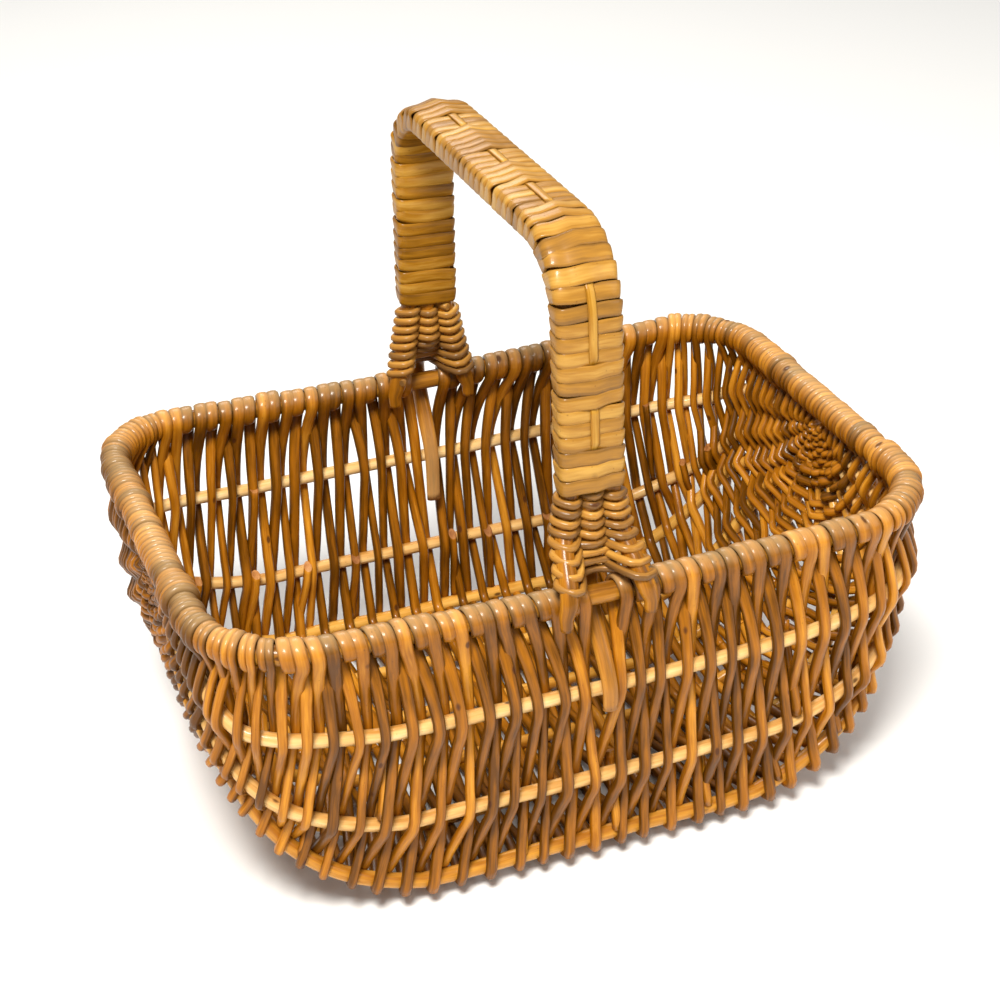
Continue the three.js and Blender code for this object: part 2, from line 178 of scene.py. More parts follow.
# %% [markdown]
# ## Willow, as a material
# Peeled willow is buff to orange wood with fine fibres along the rod, slow changes of tone, a
# small dark knot where a bud was, and a coat of varnish. A picture wouldn't follow a bent rod, so
# each rod carries its own measure: the attribute `grain` holds the place round the rod and the
# length along it, `tone` holds how pale that rod is, less a painted shade at its two sides, and
# a third attribute holds where hands have worn it and where its top is painted paler as a
# highlight.

# %% A socket that can be written in sums


class Wire:
    """A socket of one material. Sums of wires add their Math nodes."""

    def __init__(self, tree, socket=None):
        self.tree = tree
        self.socket = socket

    def make(self, kind, settings=None, inputs=None, output=0):
        """A node of this kind: its settings first, then its sockets' values or links."""
        node = self.tree.nodes.new("ShaderNode" + kind)
        for key, value in (settings or {}).items():
            if key == "stops":
                self.set_stops(node.color_ramp.elements, value)
            else:
                setattr(node, key, value)
        for key, value in (inputs or {}).items():
            if isinstance(value, Wire):
                self.tree.links.new(value.socket, node.inputs[key])
            else:
                node.inputs[key].default_value = value
        return Wire(self.tree, node.outputs[output]) if node.outputs else None

    @staticmethod
    def set_stops(elements, stops):
        """A ramp's stops, as (place, colour) pairs."""
        while len(elements) < len(stops):
            elements.new(1.0)
        for element, (position, colour) in zip(elements, stops):
            element.position = position
            element.color = colour

    def maths(self, operation, first, second):
        return self.make("Math", {"operation": operation}, {0: first, 1: second})

    def __add__(self, other):
        return self.maths("ADD", self, other)

    __radd__ = __add__

    def __sub__(self, other):
        return self.maths("SUBTRACT", self, other)

    def __rsub__(self, other):
        return self.maths("SUBTRACT", other, self)

    def __mul__(self, other):
        return self.maths("MULTIPLY", self, other)

    __rmul__ = __mul__

    def between(self, low, high):
        """0 below low and 1 above high, with a smooth step from one to the other."""
        inputs = {"Value": self, "From Min": low, "From Max": high}
        return self.make("MapRange", {"interpolation_type": "SMOOTHSTEP"}, inputs)


def paint(red, green, blue):
    """A colour given as it looks on a screen, 0 to 255, as the linear colour of a shader."""
    shown = np.array([red, green, blue]) / 255
    linear = np.where(shown <= 0.04045, shown / 12.92, ((shown + 0.055) / 1.055) ** 2.4)
    return (*linear, 1.0)


# %% The willow recipe
# A paler colour for worn places and for the painted highlight on the tops of rods.
wear_and_sheen_colour = paint(230, 196, 140)
knot_brown = paint(70, 34, 10)
varnish = {"Specular IOR Level": 0.15, "Coat Weight": 0.3, "Coat Roughness": 0.16}


def willow(name, dark, middle, pale, roughness, knots=1.0):
    """Varnished willow. The colour runs from dark to pale with the rod's tone, moved a little by
    slow blotches and by fibres. Knots and specks are small cells round scattered points."""
    material = bpy.data.materials.new(name)
    material.use_nodes = True
    tree = material.node_tree
    tree.nodes.clear()
    start = Wire(tree)
    grain = start.make("Attribute", {"attribute_name": "grain"}, output="Vector")
    tone = start.make("Attribute", {"attribute_name": "tone"}, output="Fac")
    rub = start.make("Attribute", {"attribute_name": "rub"}, output="Fac")

    def stretched(along):
        """The grain, with its length along the rod shortened so that cells come out long."""
        return start.make("VectorMath", {"operation": "MULTIPLY"}, {0: grain, 1: (1, 1, along)})

    fibre = start.make("TexNoise", None, {"Vector": stretched(0.05), "Scale": 1500, "Detail": 3})
    streak = start.make("TexNoise", None, {"Vector": stretched(0.08), "Scale": 420, "Detail": 2})
    blotch = start.make("TexNoise", None, {"Vector": stretched(0.3), "Scale": 110, "Detail": 3})
    spots = start.make("TexVoronoi", None, {"Vector": stretched(0.5), "Scale": 62})
    specks = start.make("TexVoronoi", None, {"Vector": stretched(0.6), "Scale": 420})
    knot = (1 - spots.between(0.045, 0.10)) * knots
    speck = (1 - specks.between(0.05, 0.16)) * blotch.between(0.42, 0.62)
    paleness = tone + (blotch - 0.5) * 0.7 + (streak - 0.5) * 0.8 + (fibre - 0.5) * 0.5
    stops = [(0.0, paint(*dark)), (0.5, paint(*middle)), (1.0, paint(*pale))]
    wood = start.make("ValToRGB", {"stops": stops}, {"Fac": paleness})
    blend = {"data_type": "RGBA"}
    # Worn places and the painted highlight on the tops take the paler colour.
    wood = start.make("Mix", blend, {0: rub * 0.75, 6: wood, 7: wear_and_sheen_colour}, output=2)
    spotting = speck * 0.45 + knot * 0.85
    wood = start.make("Mix", blend, {0: spotting, 6: wood, 7: knot_brown}, output=2)
    relief = {"Height": fibre * 0.25 + streak * 0.5 + blotch * 0.5 - knot * 0.5}
    relief.update({"Strength": 0.5, "Distance": 0.0007})
    bump = start.make("Bump", None, relief, output="Normal")
    rough = roughness + (streak - 0.5) * 0.25 + spotting * 0.2
    inputs = {"Base Color": wood, "Roughness": rough, "Normal": bump, **varnish}
    surface = start.make("BsdfPrincipled", None, inputs)
    start.make("OutputMaterial", None, {"Surface": surface})
    return material


weave_wood = willow("woven_willow", (92, 53, 0), (162, 98, 9), (216, 147, 42), 0.42)
pale_wood = willow("peeled_rib_willow", (190, 132, 60), (230, 184, 114), (246, 218, 164), 0.44)
edge_wood = willow("edge_rib_willow", (160, 98, 22), (204, 142, 50), (230, 178, 88), 0.42)
hoop_wood = willow("hoop_willow", (112, 66, 10), (168, 110, 28), (204, 148, 58), 0.42)
bow_wood = willow("handle_bow_willow", (104, 62, 4), (164, 102, 16), (208, 146, 48), 0.40)
skein_wood = willow("split_willow_skein", (98, 60, 2), (156, 105, 18), (198, 152, 66), 0.40, 0.6)
fan_wood = willow("thin_willow", (96, 56, 4), (164, 108, 24), (208, 156, 66), 0.40)
end_wood = willow("cut_willow", (130, 78, 34), (178, 120, 66), (210, 156, 102), 0.6, 0.4)
print("materials:", [m.name for m in bpy.data.materials])

# %% [markdown]
# ## One tube per rod
# A rod is a round or flattened section carried along a path. The section keeps one axis towards
# a given face, such as the outside of the wall, so that a flattened rod lies flat round the rim.
# Hundreds of rods would be slow as separate objects, so a bundle gathers them into one mesh.

# %% Bundles of rods


def smoothstep(x, low, high):
    """0 up to low, 1 from high, and 3t^2 - 2t^3 between them."""
    t = np.clip((np.asarray(x, float) - low) / (high - low), 0, 1)
    return t * t * (3 - 2 * t)


def mix(a, b, t):
    """a at t = 0, b at t = 1, and a straight line between them."""
    return a + (b - a) * t


def lengths(path):
    """The length along a path from its start to each of its points."""
    return np.concatenate([[0], np.cumsum(np.linalg.norm(np.diff(path, axis=0), axis=1))])


def squared(wave, power):
    """A cosine or sine raised to a power with its sign kept."""
    return np.sign(wave) * np.abs(wave) ** power


class Bundle:
    """Tubes gathered into one mesh, with their grain, their tone with its painted side shade, and the
    paleness of wear and painted highlight.
    """

    def __init__(self):
        self.parts = []
        self.count = 0

    def add(self, path, face, wide, thick, tone, rub=0.0, sides=10, bevel=0.0,
            square=1.0, shade=0.42):
        """A tube whose ring at each point is centre + wide cos(turn) W + thick sin(turn) F. F is
        face made square to the path, and W is square to both. With a bevel its far end is cut
        at a slant, which is the bevel's share of the rod's thickness. Below 1, square raises
        the cosine and sine to that power, which fills out the section's corners. The tone is
        lower by shade at a section's two sides: painted shade for the dark where rods touch and
        where a round rod turns away from the light."""
        n = len(path)
        along = unit(np.gradient(path, axis=0))
        facing = np.broadcast_to(face, path.shape)
        facing = unit(facing - along * np.sum(facing * along, axis=1, keepdims=True))
        side = np.cross(facing, along)
        turn = (np.arange(sides) + 0.5) / sides * 2 * np.pi
        cosine, sine = squared(np.cos(turn), square), squared(np.sin(turn), square)
        a = np.broadcast_to(wide, n)[:, None] * cosine
        b = np.broadcast_to(thick, n)[:, None] * sine
        rings = path[:, None] + side[:, None] * a[..., None] + facing[:, None] * b[..., None]
        rings[-1] += along[-1] * (bevel * b[-1])[:, None]
        radius = float(np.mean(wide) + np.mean(thick)) / 2
        start = rng.uniform(0, 4)
        grain = np.empty((n, sides, 3))
        grain[..., 0] = radius * cosine
        grain[..., 1] = radius * sine
        grain[..., 2] = (lengths(path) + start)[:, None]
        i = np.arange(n - 1)[:, None] * sides
        j = np.arange(sides)[None]
        k = (j + 1) % sides
        quads = np.stack([i + j, i + k, i + sides + k, i + sides + j], axis=-1).reshape(-1, 4)
        caps = np.stack([j[0][::-1], (n - 1) * sides + j[0]])
        self.parts.append({
            "points": rings.reshape(-1, 3),
            "quads": quads + self.count,
            "caps": caps + self.count,
            "grain": grain.reshape(-1, 3),
            # Painted shade: the tone is lowered at the section's two sides.
            "tone": (np.broadcast_to(tone, n)[:, None] - shade * np.abs(cosine) ** 3).ravel(),
            "rub": np.repeat(np.broadcast_to(rub, n), sides),
        })
        self.count += n * sides
        return self

    def build(self, name, material, slot, *nodes, ends=None):
        """Puts the bundle into a mesh object that stands for these CAD nodes. The cut ends of
        its rods can have a material of their own."""
        keys = ("points", "quads", "grain", "tone", "rub")
        gathered = [np.concatenate([part[key] for part in self.parts]) for key in keys]
        points, quads, grain, tone, rub = gathered
        caps = [cap for p in self.parts for cap in p["caps"]]
        corners = np.concatenate([quads.ravel(), *caps])
        sizes = np.array([4] * len(quads) + [len(cap) for cap in caps])
        starts = np.concatenate([[0], np.cumsum(sizes)[:-1]])
        mesh = bpy.data.meshes.new(name)
        mesh.vertices.add(len(points))
        mesh.vertices.foreach_set("co", points.ravel())
        mesh.loops.add(len(corners))
        mesh.loops.foreach_set("vertex_index", corners)
        mesh.polygons.add(len(sizes))
        mesh.polygons.foreach_set("loop_start", starts)
        mesh.polygons.foreach_set("loop_total", sizes)
        mesh.polygons.foreach_set("use_smooth", sizes == 4)
        mesh.update(calc_edges=True)
        mesh.attributes.new("grain", "FLOAT_VECTOR", "POINT").data.foreach_set("vector", grain.ravel())
        mesh.attributes.new("tone", "FLOAT", "POINT").data.foreach_set("value", tone)
        mesh.attributes.new("rub", "FLOAT", "POINT").data.foreach_set("value", rub)
        mesh.materials.append(material)
        if ends:
            mesh.materials.append(ends)
            mesh.polygons.foreach_set("material_index", (sizes != 4).astype(np.int32))
        piece = new_object(name, mesh)
        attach(piece, "root")
        if nodes:
            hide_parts(*nodes)
        triangles = int(np.sum(sizes - 2))
        print(f"{name}: {len(self.parts)} rods, {triangles} triangles")


# %% [markdown]
# ## The lines that everything follows
# Ten ribs run from end to end like the meridians of a globe, and meet under the middle of each
# short side, at the pole. Seen from above and from the front each rib is a superellipse. The
# hoop is a rounded rectangle. All lines are measured by their share of length from the left, so
# that one share is one strand of weave from rim to rim.

# %% Rib lines
length_power = 3.8
rim_powers = (10.7, 5.6)
floor_powers = (6.2, 2.3)
line_steps = 1201
hoop_steps = 2401


def end_rise(x):
    """How much higher the rim stands towards the ends: a parabola in x."""
    return rim_end_rise * (x / rim_half_length) ** 2


def rib_half(half_width, height, spoke, share):
    """A rib from the pole (share 0) to mid length (share 1). Its plan is |x|^n + |y|^m = 1, and
    its depth is the same kind of curve with a lower power for a deeper rib. Near the pole it
    leaves along its own spoke."""
    floor_depth = rim_height - floor_rib_height
    depth = rim_height - height
    relative = depth / floor_depth
    width_power, depth_power = (mix(a, b, relative) for a, b in zip(rim_powers, floor_powers))
    angle = np.pi / 2 * share**4
    sine = np.sin(angle)
    x = rim_half_length * np.cos(angle) ** (2 / length_power)
    wide = half_width * sine ** (2 / width_power)
    deep = depth * np.minimum(1, floor_flat * sine ** (2 / depth_power))
    distance = np.hypot(wide, deep)
    fall = mix(math.radians(spoke), np.arctan2(deep, wide), smoothstep(sine, 0, 0.5))
    fade = 1 - smoothstep(deep, pole_radius, floor_depth)
    top = rim_height + fade * (end_rise(x) - pole_drop * (x / rim_half_length) ** 6)
    points = np.stack([-x, -distance * np.cos(fall), top - distance * np.sin(fall)], axis=-1)
    return points[distance >= pole_radius]


def read_line(points, run, at):
    """A line's values at these distances, where run is the distance of each of its points."""
    return np.stack([np.interp(at, run, column) for column in points.T], axis=-1)


def evenly(path, count):
    """count points at equal shares of a path's length."""
    run = lengths(path)
    return read_line(path, run, np.linspace(0, run[-1], count))


def rib_line(half_width, height, spoke):
    """A whole rib on the front side: the half and its mirror image in x. The floor is lifted a
    little, because the strands that pass below it stand on the ground."""
    half = rib_half(half_width, height, spoke, np.linspace(0.02, 1, 4000))
    whole = np.concatenate([half, half[-2::-1] * (-1, 1, 1)])
    whole[:, 2] += floor_lift * (1 - whole[:, 2] / rim_height) ** 3
    return evenly(whole, line_steps)


front_ribs = [rib_line(*sizes) for sizes in half_ribs.values()]
print("rib lengths:", [round(lengths(rib)[-1], 3) for rib in front_ribs])

# %% Hoop line


def hoop_plan():
    """The front half of the hoop, from the middle of the left end to the middle of the right
    end: two straights and two quarter circles, as an even row of points."""
    angle = np.linspace(np.pi, 1.5 * np.pi, 90)
    cx, cy = rim_half_length - rim_corner, rim_half_width - rim_corner
    corner = np.stack([-cx + rim_corner * np.cos(angle), -cy + rim_corner * np.sin(angle)], axis=-1)
    left = np.concatenate([[(-rim_half_length, 0)], corner])
    plan = np.concatenate([left, left[::-1] * (-1, 1)])
    points = np.concatenate([plan, np.full((len(plan), 1), rim_height)], axis=1)
    points = evenly(points, hoop_steps)
    points[:, 2] += end_rise(points[:, 0])
    return points


hoop_line = hoop_plan()
hoop_run = np.linspace(0, lengths(hoop_line)[-1], len(hoop_line))
half_hoop = hoop_run[-1]
hoop_end_skip = pole_radius + 10 * MM
front_length = half_hoop - 2 * hoop_end_skip


def hoop_at(distance, side):
    """Centre and outward direction of the hoop at a distance from the middle of the left end,
    round the front (side -1) or the back (side 1). Before 0 it goes on round the other side."""
    distance = np.asarray(distance, float)
    bounded = np.abs(distance)
    bounded = np.where(bounded > half_hoop, 2 * half_hoop - bounded, bounded)
    crossed = (distance < 0) | (distance > half_hoop)
    centre = read_line(hoop_line, hoop_run, bounded)
    step = 0.5 * MM
    ahead = read_line(hoop_line[:, :2], hoop_run, bounded + step)
    behind = read_line(hoop_line[:, :2], hoop_run, bounded - step)
    along = unit(ahead - behind)
    outward = np.stack([along[..., 1], -along[..., 0], np.zeros(len(along))], axis=-1)
    flip = np.where(crossed, side, -side)
    centre[..., 1] *= flip
    outward[..., 1] *= flip
    return centre, outward


def round_hoop(distance, angle, side):
    """The hoop's centre at each distance, and the direction from it at each angle: outward at 0,
    and up at a quarter turn."""
    centre, outward = hoop_at(distance, side)
    return centre, outward * np.cos(angle)[:, None] + np.array([0, 0, 1]) * np.sin(angle)[:, None]


print("hoop length:", round(2 * half_hoop, 4))

# %% All lines as one table
# Rows: 0 front hoop, 1 to 5 front ribs, 6 the middle of the floor, 7 to 11 back ribs, 12 back hoop.
shares = np.linspace(0, 1, line_steps)
front_hoop = hoop_at(hoop_end_skip + shares * front_length, -1)[0]
mirror = np.array([1, -1, 1])
middle = (front_ribs[-1] + front_ribs[-1] * mirror) / 2
rows = np.stack([
    front_hoop, *front_ribs, middle, *[rib * mirror for rib in front_ribs[::-1]], front_hoop * mirror,
])
row_length = np.array([lengths(row)[-1] for row in rows])
row_along = unit(np.gradient(rows, axis=1))
row_across = np.gradient(rows, axis=0)
row_out = unit(np.cross(row_across, row_along))
basket_heart = np.array([0, 0, rim_height])
row_out *= np.sign(np.sum(row_out * (rows - basket_heart), axis=-1, keepdims=True))
# A strand hugs the edge rib from the wall's side, and turns under it as late as it can.
edge_hug = 0.55
for edge_row, wall_row in ((3, 2), (9, 10)):
    row_out[edge_row] = unit(mix(row_out[edge_row], row_out[wall_row], edge_hug))


def on_row(row, share):
    """Point and outward direction of a row at a share of its length."""
    at = np.clip(share, 0, 1) * (line_steps - 1)
    low = np.minimum(at.astype(int), line_steps - 2)
    part = (at - low)[..., None]
    point = mix(rows[row, low], rows[row, low + 1], part)
    outward = unit(mix(row_out[row, low], row_out[row, low + 1], part))
    return point, outward


print("row lengths:", np.round(row_length, 3))

# %% [markdown]
# ## Ribs and hoop
# The ribs are straight peeled rods, paler than the weave, and whittled thin where they meet at
# the poles. The hoop is one thick rod. Most of it is hidden under the winding, but it shows bare
# where the middle bow of the handle crosses it.

# %% Ribs


def wander(count, size, steps):
    """A slow random curve: few random values, joined smoothly over count points."""
    knots = rng.normal(0, size, (steps, 3))
    at = np.linspace(0, steps - 1, count)
    low = np.minimum(at.astype(int), steps - 2)
    part = smoothstep(at - low, 0, 1)[:, None]
    return mix(knots[low], knots[low + 1], part)


def rib_radius_at(share):
    """Full width in the middle, and a straight taper to the tip at both ends."""
    return mix(rib_tip_radius, rib_radius, np.clip(np.minimum(share, 1 - share) / rib_taper, 0, 1))


rib_swell = 1.08
edge_rib_swell = 1.2
rib_wobble = 0.5 * MM
rib_share = np.linspace(0, 1, 150)
for side, side_name in ((0, "front"), (1, "back")):
    for number, rib_name in enumerate(half_ribs):
        row = 1 + number if side == 0 else 11 - number
        path, outward = on_row(row, rib_share)
        radius = rib_radius_at(rib_share) * (edge_rib_swell if rib_name == "edge" else rib_swell)
        path = path + wander(len(path), rib_wobble, 14)
        rod = Bundle().add(path, outward, radius, radius, rng.uniform(0.45, 0.8), sides=12)
        wood = {"upper": pale_wood, "lower": pale_wood}.get(rib_name, edge_wood)
        rod.build(f"rib_rod_{side_name}_{rib_name}", wood, "rib_rods", f"rib_{side_name}_{rib_name}")

# %% Hoop
rods = Bundle()
for side in (-1, 1):
    path, outward = hoop_at(np.linspace(0.2 * MM, half_hoop - 0.01 * MM, 260), side)
    rods.add(path, outward, hoop_radius, hoop_radius, 0.5, sides=14)
rods.build("hoop_rod", hoop_wood, "rim_rods", "rim_hoop")

# %% [markdown]
# ## The weave
# A long rod zigzags from rim to rim under the floor. Each pass runs outside one rib and inside
# the next, and its neighbour does the opposite. At the rim a pass comes up inside, goes over the
# hoop and down outside as the next pass. So a strand is a hairpin: up one wall, over the rim and
# down again. Along the sides two of every three take one more turn round the hoop, and near the
# ends all of them do, which keeps it covered.

# %% Where the passes stand
middle_pitch = 6.4 * MM
end_pitch = 4.2 * MM
middle_pass_radius = 2.85 * MM
end_pass_radius = 2.5 * MM
same_rod_chance = 0.45
left_end_darker = 0.34
row_wander = 0.8 * MM
pass_wander = 0.5 * MM
bow_room_push = 4.5 * MM
bow_room_reach = 16 * MM


def endward(share):
    """0 along the sides, 1 round the ends, and a smooth step between them."""
    return smoothstep(np.abs(share - 0.5), 0.20, 0.37)


def pitch_at(share):
    """Distance between passes at the rim: wider along the sides, closer round the ends."""
    return mix(middle_pitch, end_pitch, endward(share))


fine = np.linspace(0, 1, 4001)
density = np.cumsum(front_length / pitch_at(fine)) / len(fine)
pass_count = 4 * int(density[-1] / 4)
pass_share = np.interp((np.arange(pass_count) + 0.5) / pass_count, density / density[-1], fine)
pass_radius = mix(middle_pass_radius, end_pass_radius, endward(pass_share))
pass_radius = pass_radius * rng.uniform(0.84, 1.12, pass_count)
fresh = rng.uniform(0.15, 0.85, pass_count)
same_rod = rng.random(pass_count) < same_rod_chance
pass_tone = np.where(same_rod, np.roll(fresh, 1), fresh)
pass_tone -= left_end_darker * (1 - smoothstep(pass_share, 0.06, 0.22))
print("passes:", pass_count)

# Each pass strays a little sideways, as a whole and at each row.
strand_wander = rng.normal(0, row_wander, (pass_count, len(rows)))
strand_wander += rng.normal(0, pass_wander, (pass_count, 1))
from_middle = (pass_share - 0.5)[:, None] * row_length
# The weaver's pull leans the passes: low on the front wall they stand a little to the left, and
# high on the back wall by one pitch, so that there too the bow comes between two strands.
lean = np.array([0, 1, -1, -6, -5, -4, -2, -2, -3, -4, -5.5, -6.4, -6.4]) * MM
lean_fade = 1 - np.abs(2 * pass_share - 1)[:, None] ** 5
leaning = from_middle + lean * lean_fade
# Close to the rim the passes make room for the middle bow.
bow_room = bow_room_push * np.exp(-((leaning / bow_room_reach) ** 2)) * np.sign(leaning)
near_rim = np.isin(np.arange(len(rows)), (0, 1, 11, 12))
strand_shift = strand_wander + np.where(near_rim, bow_room, 0) + lean * lean_fade
strand_share = np.clip(pass_share[:, None] + strand_shift / row_length, 0, 1)

# %% Loops over the rim
bare_hoop = 8 * MM
side_share = 0.29
side_band = 7.7 * MM
end_band = 4.3 * MM
bend_share = 0.27
bedding = 0.95
loop_start, loop_end, loop_step = np.radians([195, -15, 15])
loop_travel = 0.3
widest_flat = 0.52
least_flat = 0.95
flat_area = 0.62
thinnest_flat = 1.25 * MM
slack_keys = np.array([[0.16, 0.16, 0.3], [0.68, 0.68, 0.78]])
flattening = np.array([0.1, 0.35, 0.75])
# The tops of the loops over the rim are painted paler: partly wear from hands, partly a painted
# highlight.
rim_wear_and_sheen = 0.4


def loop_places(count, centres):
    """Centre, turns and band width of each loop over one rim. Near the ends each takes two turns,
    and along the sides every three take one, two and two, in random order. All bands touch, and
    each half of the loops fills its own half of the rim, up to the bare stretch in the middle."""
    along_side = np.abs(centres - 0.5) < side_share
    triples = rng.permuted(np.tile([1, 2, 2], (count // 3 + 1, 1)), axis=1).ravel()[:count]
    turns = np.where(along_side, triples, 2)
    band = np.where(along_side, side_band, end_band) * turns
    half = (count + 1) // 2
    side_length = front_length / 2 - bare_hoop
    places, widths = [], []
    for start, loops in ((0, band[:half]), (front_length / 2 + bare_hoop, band[half:])):
        edges = np.concatenate([[0], np.cumsum(loops)]) * side_length / loops.sum()
        places.append(start + (edges[:-1] + edges[1:]) / 2)
        widths.append(np.diff(edges))
    return hoop_end_skip + np.concatenate(places), turns, np.concatenate(widths) / turns


def side_of(index, row):
    """1 if this pass runs outside at this row, and -1 if it runs inside."""
    line = row if row < 6 else row - 1
    return 1 if (index + 1 + line) % 2 == 0 else -1


def straighten(values):
    """Each value, and between two of them the values about a quarter in from both ends. A path
    through such points is straight between its bends."""
    near = mix(values[:-1], values[1:], bend_share)
    far = mix(values[:-1], values[1:], 1 - bend_share)
    return np.concatenate([np.stack([values[:-1], near, far], axis=1).reshape(-1, 3), values[-1:]])


def leg(index, wall_rows):
    """Key points of one pass from the floor's middle up to the rib below the rim, each beside a
    rib by the rib's radius and its own, less a little bedding, and their outward directions."""
    points, outs = [], []
    for row in wall_rows:
        share = strand_share[index, row]
        point, outward = on_row(row, share)
        beside = 0 if row == 6 else side_of(index, row) * (rib_radius_at(share) + pass_radius[index])
        points.append(point + outward * beside * bedding)
        outs.append(outward)
    return straighten(np.array(points)), straighten(np.array(outs))


def loop(centre, turns, width, radius, side):
    """Points over the rim, from a little below its middle on the inside over the top to the same
    height outside, with more whole turns where asked, on a helix. Also their radial directions,
    and their angles round the hoop from the outward direction."""
    end = loop_end - 2 * np.pi * (turns - 1)
    angle = np.linspace(loop_start, end, 1 + round((loop_start - end) / loop_step))
    travel = width * (turns - 1 + loop_travel)
    distance = centre + np.linspace(-0.5, 0.5, len(angle)) * travel
    hoop, radial = round_hoop(distance, angle, side)
    return hoop + radial * (hoop_radius + radius), radial, angle


def smooth_path(keys, spans):
    """A smooth path through key points, with spans points from each key to the next. It is a
    cubic in each span, and its slope at a key is the two chords' slopes, the nearer one
    weighing more. Also the fractional key numbers of its points."""
    step = np.linalg.norm(np.diff(keys, axis=0), axis=1)[:, None]
    slope = np.diff(keys, axis=0) / step
    tangent = np.empty_like(keys)
    tangent[1:-1] = (slope[:-1] * step[1:] + slope[1:] * step[:-1]) / (step[:-1] + step[1:])
    tangent[0], tangent[-1] = slope[0], slope[-1]
    starts = np.concatenate([i + np.arange(n) / n for i, n in enumerate(spans)])
    at = np.append(starts, len(spans))
    i = np.minimum(at.astype(int), len(spans) - 1)
    t = (at - i)[:, None]
    h = step[i]
    path = ((2 * t**3 - 3 * t**2 + 1) * keys[i] + (t**3 - 2 * t**2 + t) * h * tangent[i]
            + (3 * t**2 - 2 * t**3) * keys[i + 1] + (t**3 - t**2) * h * tangent[i + 1])
    return path, at


def by_key(values, at, soft=True):
    """Values given at keys, read at fractional key numbers, with a smooth step or a straight line
    from each to the next."""
    values = np.asarray(values, float)
    low = np.minimum(at.astype(int), len(values) - 2)
    part = smoothstep(at - low, 0, 1) if soft else at - low
    part = part[:, None] if values.ndim > 1 else part
    return mix(values[low], values[low + 1], part)


def with_slack(values, target):
    """A leg's keys, and those of the slack between its last one and the rim."""
    return np.concatenate([values, mix(values[-1], target, slack_keys)])


def hairpin(bundle, first, second, wall_rows, side, place, turns, width):
    """One strand: up as the first pass, over the rim and down as the second. It is round on the
    wall and pressed flat round the hoop, where it has less area of section, as if drawn tight."""
    up, up_out = leg(first, wall_rows)
    down, down_out = leg(second, wall_rows)
    radius = (pass_radius[first] + pass_radius[second]) / 2
    flat_wide = max(widest_flat * width, least_flat * radius)
    flat_thick = max(flat_area * radius**2 / flat_wide, thinnest_flat) * rng.uniform(0.9, 1.5)
    over, radial, angle = loop(place, turns, width, flat_thick, side)
    up, up_out = with_slack(up, over[0]), with_slack(up_out, -radial[0])
    down, down_out = with_slack(down, over[-1]), with_slack(down_out, radial[-1])
    keys = np.concatenate([up, over, down[::-1]])
    faces = np.concatenate([-up_out, radial, down_out[::-1]])
    n_up, n_over = len(up), len(over)
    spans = [3] * n_up + [1] * (n_over - 1) + [3] * n_up
    path, at = smooth_path(keys, spans)

    def along_strand(going_up, across, going_down):
        """One value up the first wall, a row of them over the rim and one value down again."""
        values = [np.full(n_up, going_up), across, np.full(n_up, going_down)]
        return by_key(np.concatenate(values), at)

    rise = np.concatenate([np.zeros(n_up - len(flattening)), flattening])
    flat = by_key(np.concatenate([rise, np.ones(n_over), rise[::-1]]), at, soft=False)
    own = along_strand(pass_radius[first], np.full(n_over, radius), pass_radius[second])
    tones = pass_tone[first], pass_tone[second]
    tone = along_strand(tones[0], np.linspace(*tones, n_over), tones[1])
    # Paler on top of the loop, for wear and as a painted highlight.
    rub = along_strand(0, np.clip(np.sin(angle), 0, 1) ** 2, 0) * rim_wear_and_sheen
    wide = mix(own * 1.03, flat_wide, flat)
    thick = mix(own * 0.97, flat_thick, flat)
    bundle.add(path, by_key(faces, at), wide, thick, tone, rub, square=0.86)


# %% Weaving both walls
front_rows = [6, 5, 4, 3, 2, 1]
back_rows = [6, 7, 8, 9, 10, 11]
regions = {
    "left_end": (0, 0.2),
    "left": (0.2, 0.4),
    "middle": (0.4, 0.6),
    "right": (0.6, 0.8),
    "right_end": (0.8, 1.01),
}
bundles = {name: Bundle() for name in regions}


def bundle_for(share):
    """The bundle of the part of the basket in which this share lies."""
    return next(bundles[name] for name, (low, high) in regions.items() if low <= share < high)


front_pairs = [(i, i + 1) for i in range(0, pass_count, 2)]
back_pairs = [(i, i + 1) for i in range(1, pass_count - 1, 2)]
for pairs, wall_rows, side in ((front_pairs, front_rows, -1), (back_pairs, back_rows, 1)):
    centres = np.array([(pass_share[a] + pass_share[b]) / 2 for a, b in pairs])
    places, turns, widths = loop_places(len(pairs), centres)
    for (first, second), place_on_hoop, turn_count, width in zip(pairs, places, turns, widths):
        bundle = bundle_for(pass_share[first])
        hairpin(bundle, first, second, wall_rows, side, place_on_hoop, turn_count, width)
for index in (0, pass_count - 1):
    keys, outs = leg(index, back_rows)
    path, at = smooth_path(keys, [3] * (len(keys) - 1))
    radius = pass_radius[index]
    bundle_for(pass_share[index]).add(path, by_key(outs, at), radius, radius, pass_tone[index])

shared_bands = ["weave_floor_centre"] + [
    f"weave_{side}_{band}" for side in ("front", "back") for band in ("middle", "lower", "turn", "floor")
]
for name, bundle in bundles.items():
    halves = [half for half in ("left", "right") if half in name or name == "middle"]
    top_bands = [f"weave_{side}_top_{half}" for half in halves for side in ("front", "back")]
    bundle.build(f"woven_rods_{name}", weave_wood, "weave_rods", *shared_bands, *top_bands)

# %% [markdown]
# ## Cut ends
# A rod is shorter than the weave is long, so new ones are laid in beside the old. Their thick
# ends are cut at a slant and stay on the inside, just past a rib.

# %% Butts inside the walls
butts = Bundle()
# How many, the row they come up from and the row that they pass.
butt_groups = ((11, 9, 10), (2, 10, 11), (9, 3, 2), (2, 2, 1))


